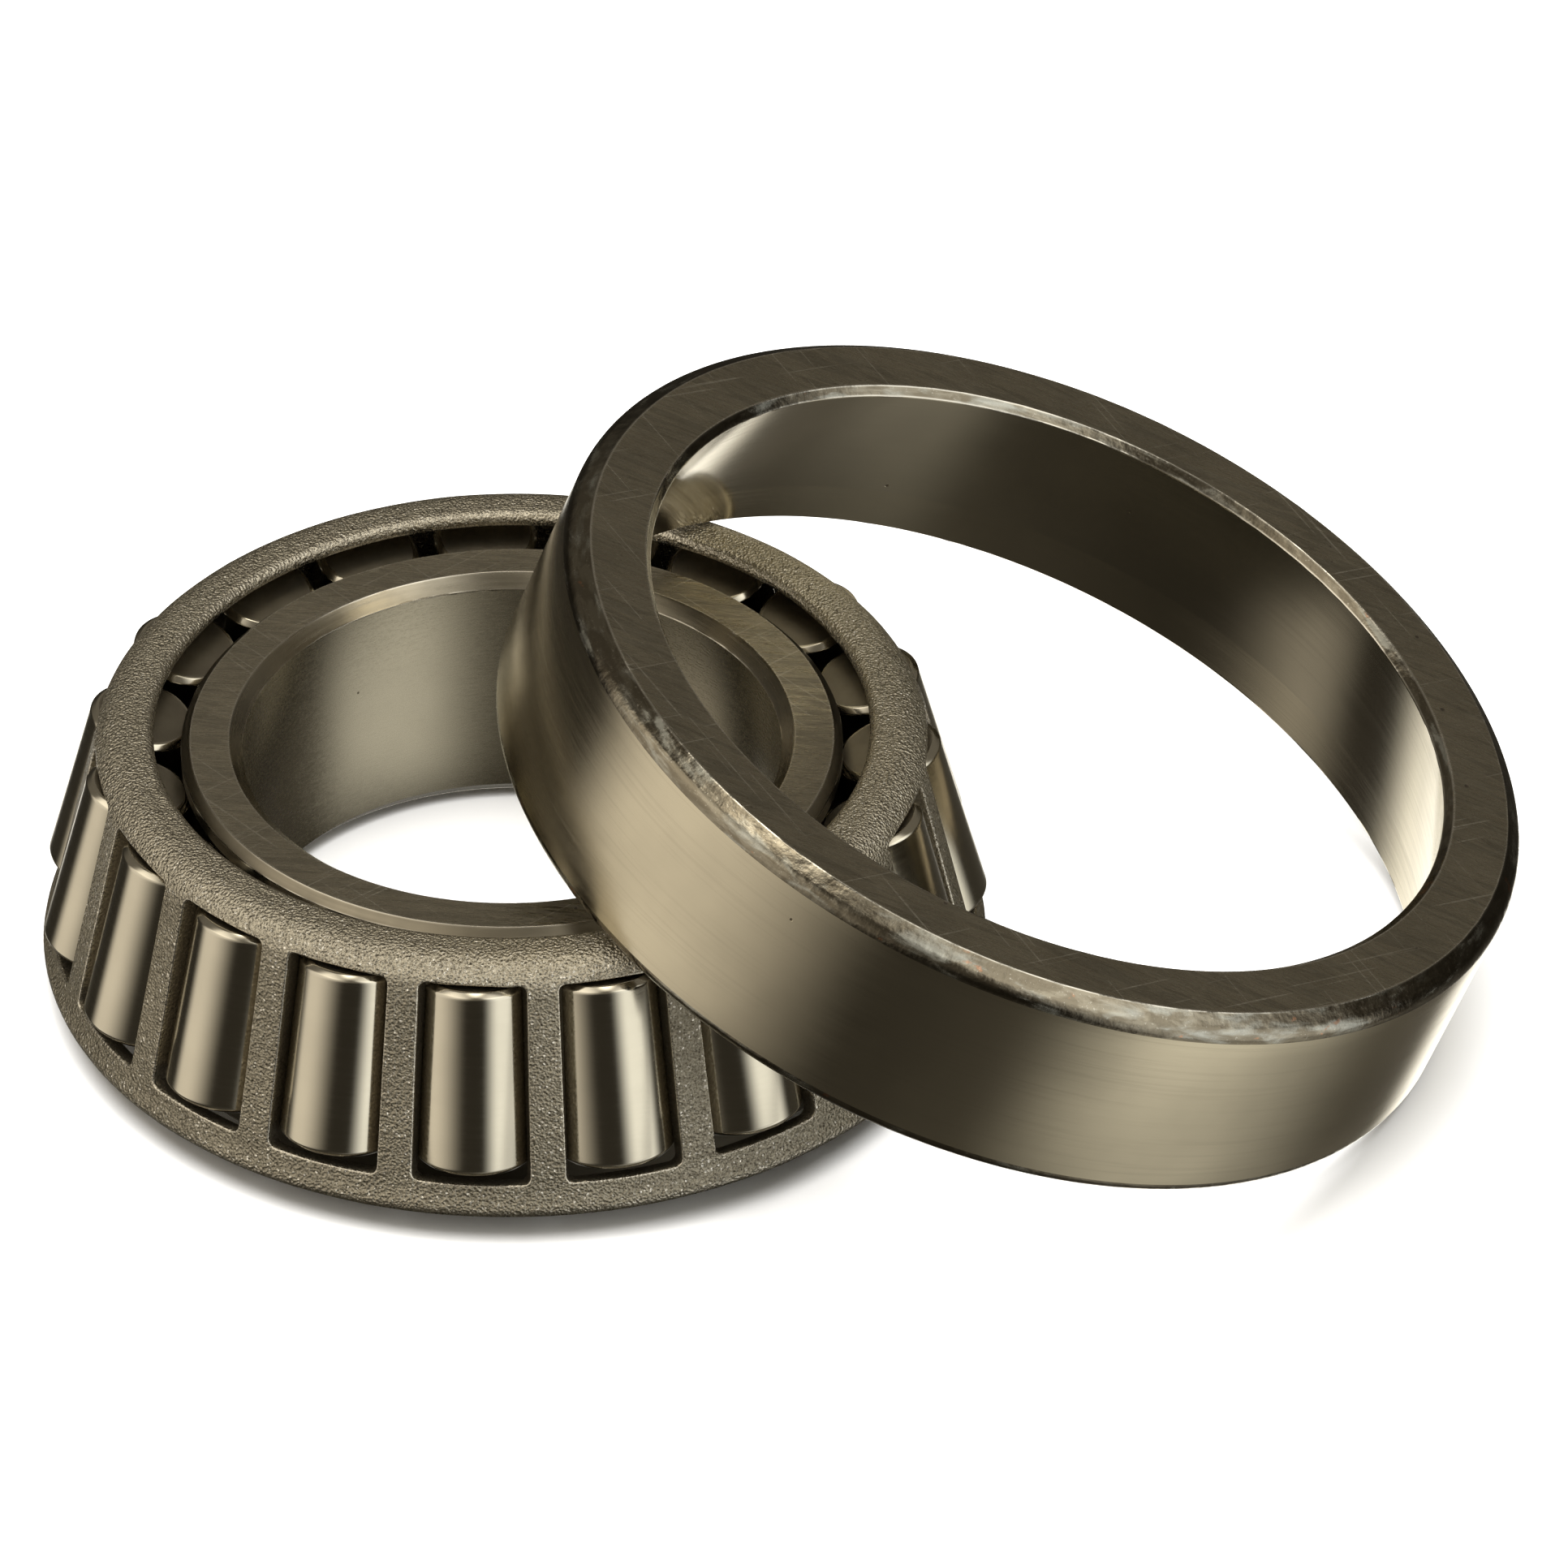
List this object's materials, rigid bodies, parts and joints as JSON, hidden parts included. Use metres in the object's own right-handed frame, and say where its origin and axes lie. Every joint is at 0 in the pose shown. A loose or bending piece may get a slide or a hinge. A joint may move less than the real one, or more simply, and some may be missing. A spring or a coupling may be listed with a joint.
{
  "type": "tapered roller bearing",
  "caption": "Separable tapered roller bearing: inner ring with caged tapered rollers, and an outer ring leaning against it.",
  "frame": {"origin": "centre of the inner ring's back face, on the bore axis", "axes": "+Z along the bore axis from the inner ring's back face to its small end, +X towards the side that the outer ring leans to"},
  "size_m": [0.124, 0.085, 0.0472],
  "materials": {
    "ring_steel": "ground and hardened bearing steel",
    "roller_steel": "polished bearing steel",
    "cage_steel": "pressed sheet steel, matt and grainy"
  },
  "bodies": {
    "inner_ring": {"inner_ring": "ring_steel"},
    "cage": {"cage": "cage_steel"},
    "roller_01": {"roller_01": "roller_steel"},
    "roller_02": {"roller_02": "roller_steel"},
    "roller_03": {"roller_03": "roller_steel"},
    "roller_04": {"roller_04": "roller_steel"},
    "roller_05": {"roller_05": "roller_steel"},
    "roller_06": {"roller_06": "roller_steel"},
    "roller_07": {"roller_07": "roller_steel"},
    "roller_08": {"roller_08": "roller_steel"},
    "roller_09": {"roller_09": "roller_steel"},
    "roller_10": {"roller_10": "roller_steel"},
    "roller_11": {"roller_11": "roller_steel"},
    "roller_12": {"roller_12": "roller_steel"},
    "roller_13": {"roller_13": "roller_steel"},
    "roller_14": {"roller_14": "roller_steel"},
    "roller_15": {"roller_15": "roller_steel"},
    "roller_16": {"roller_16": "roller_steel"},
    "roller_17": {"roller_17": "roller_steel"},
    "roller_18": {"roller_18": "roller_steel"},
    "roller_19": {"roller_19": "roller_steel"},
    "outer_ring": {"outer_ring": "ring_steel"}
  },
  "joints": [
    {"name": "cage_orbit", "type": "hinge", "parent": "inner_ring", "child": "cage", "pos_m": [0, 0, 0], "axis": [0, 0, 1], "continuous": true},
    {"name": "roller_01_spin", "type": "hinge", "parent": "cage", "child": "roller_01", "pos_m": [0.03484, 0.00372, 0.00581], "axis": [-0.2277, -0.0243, 0.9734], "continuous": true},
    {"name": "roller_02_spin", "type": "hinge", "parent": "cage", "child": "roller_02", "pos_m": [0.03174, 0.01483, 0.00581], "axis": [-0.2075, -0.097, 0.9734], "continuous": true},
    {"name": "roller_03_spin", "type": "hinge", "parent": "cage", "child": "roller_03", "pos_m": [0.02521, 0.02434, 0.00581], "axis": [-0.1647, -0.1591, 0.9734], "continuous": true},
    {"name": "roller_04_spin", "type": "hinge", "parent": "cage", "child": "roller_04", "pos_m": [0.01594, 0.0312, 0.00581], "axis": [-0.1042, -0.2039, 0.9734], "continuous": true},
    {"name": "roller_05_spin", "type": "hinge", "parent": "cage", "child": "roller_05", "pos_m": [0.00494, 0.03469, 0.00581], "axis": [-0.0323, -0.2267, 0.9734], "continuous": true},
    {"name": "roller_06_spin", "type": "hinge", "parent": "cage", "child": "roller_06", "pos_m": [-0.00659, 0.03441, 0.00581], "axis": [0.0431, -0.2249, 0.9734], "continuous": true},
    {"name": "roller_07_spin", "type": "hinge", "parent": "cage", "child": "roller_07", "pos_m": [-0.0174, 0.03041, 0.00581], "axis": [0.1138, -0.1988, 0.9734], "continuous": true},
    {"name": "roller_08_spin", "type": "hinge", "parent": "cage", "child": "roller_08", "pos_m": [-0.02633, 0.02311, 0.00581], "axis": [0.1721, -0.151, 0.9734], "continuous": true},
    {"name": "roller_09_spin", "type": "hinge", "parent": "cage", "child": "roller_09", "pos_m": [-0.03241, 0.01331, 0.00581], "axis": [0.2118, -0.087, 0.9734], "continuous": true},
    {"name": "roller_10_spin", "type": "hinge", "parent": "cage", "child": "roller_10", "pos_m": [-0.03498, 0.00206, 0.00581], "axis": [0.2286, -0.0135, 0.9734], "continuous": true},
    {"name": "roller_11_spin", "type": "hinge", "parent": "cage", "child": "roller_11", "pos_m": [-0.03375, -0.00941, 0.00581], "axis": [0.2206, 0.0615, 0.9734], "continuous": true},
    {"name": "roller_12_spin", "type": "hinge", "parent": "cage", "child": "roller_12", "pos_m": [-0.02887, -0.01986, 0.00581], "axis": [0.1887, 0.1298, 0.9734], "continuous": true},
    {"name": "roller_13_spin", "type": "hinge", "parent": "cage", "child": "roller_13", "pos_m": [-0.02086, -0.02815, 0.00581], "axis": [0.1363, 0.184, 0.9734], "continuous": true},
    {"name": "roller_14_spin", "type": "hinge", "parent": "cage", "child": "roller_14", "pos_m": [-0.01058, -0.0334, 0.00581], "axis": [0.0692, 0.2183, 0.9734], "continuous": true},
    {"name": "roller_15_spin", "type": "hinge", "parent": "cage", "child": "roller_15", "pos_m": [0.00083, -0.03503, 0.00581], "axis": [-0.0054, 0.2289, 0.9734], "continuous": true},
    {"name": "roller_16_spin", "type": "hinge", "parent": "cage", "child": "roller_16", "pos_m": [0.01216, -0.03286, 0.00581], "axis": [-0.0795, 0.2148, 0.9734], "continuous": true},
    {"name": "roller_17_spin", "type": "hinge", "parent": "cage", "child": "roller_17", "pos_m": [0.02217, -0.02713, 0.00581], "axis": [-0.1449, 0.1773, 0.9734], "continuous": true},
    {"name": "roller_18_spin", "type": "hinge", "parent": "cage", "child": "roller_18", "pos_m": [0.02978, -0.01846, 0.00581], "axis": [-0.1946, 0.1207, 0.9734], "continuous": true},
    {"name": "roller_19_spin", "type": "hinge", "parent": "cage", "child": "roller_19", "pos_m": [0.03416, -0.00779, 0.00581], "axis": [-0.2233, 0.0509, 0.9734], "continuous": true},
    {"name": "outer_ring_lift", "type": "slide", "parent": "inner_ring", "child": "outer_ring", "axis": [0.3584, 0, 0.9336], "range_m": [0, 0.06]}
  ],
  "couplings": [
    {"joint": "roller_01_spin", "follows": "cage_orbit", "ratio": 6.034},
    {"joint": "roller_02_spin", "follows": "cage_orbit", "ratio": 6.034},
    {"joint": "roller_03_spin", "follows": "cage_orbit", "ratio": 6.034},
    {"joint": "roller_04_spin", "follows": "cage_orbit", "ratio": 6.034},
    {"joint": "roller_05_spin", "follows": "cage_orbit", "ratio": 6.034},
    {"joint": "roller_06_spin", "follows": "cage_orbit", "ratio": 6.034},
    {"joint": "roller_07_spin", "follows": "cage_orbit", "ratio": 6.034},
    {"joint": "roller_08_spin", "follows": "cage_orbit", "ratio": 6.034},
    {"joint": "roller_09_spin", "follows": "cage_orbit", "ratio": 6.034},
    {"joint": "roller_10_spin", "follows": "cage_orbit", "ratio": 6.034},
    {"joint": "roller_11_spin", "follows": "cage_orbit", "ratio": 6.034},
    {"joint": "roller_12_spin", "follows": "cage_orbit", "ratio": 6.034},
    {"joint": "roller_13_spin", "follows": "cage_orbit", "ratio": 6.034},
    {"joint": "roller_14_spin", "follows": "cage_orbit", "ratio": 6.034},
    {"joint": "roller_15_spin", "follows": "cage_orbit", "ratio": 6.034},
    {"joint": "roller_16_spin", "follows": "cage_orbit", "ratio": 6.034},
    {"joint": "roller_17_spin", "follows": "cage_orbit", "ratio": 6.034},
    {"joint": "roller_18_spin", "follows": "cage_orbit", "ratio": 6.034},
    {"joint": "roller_19_spin", "follows": "cage_orbit", "ratio": 6.034}
  ]
}
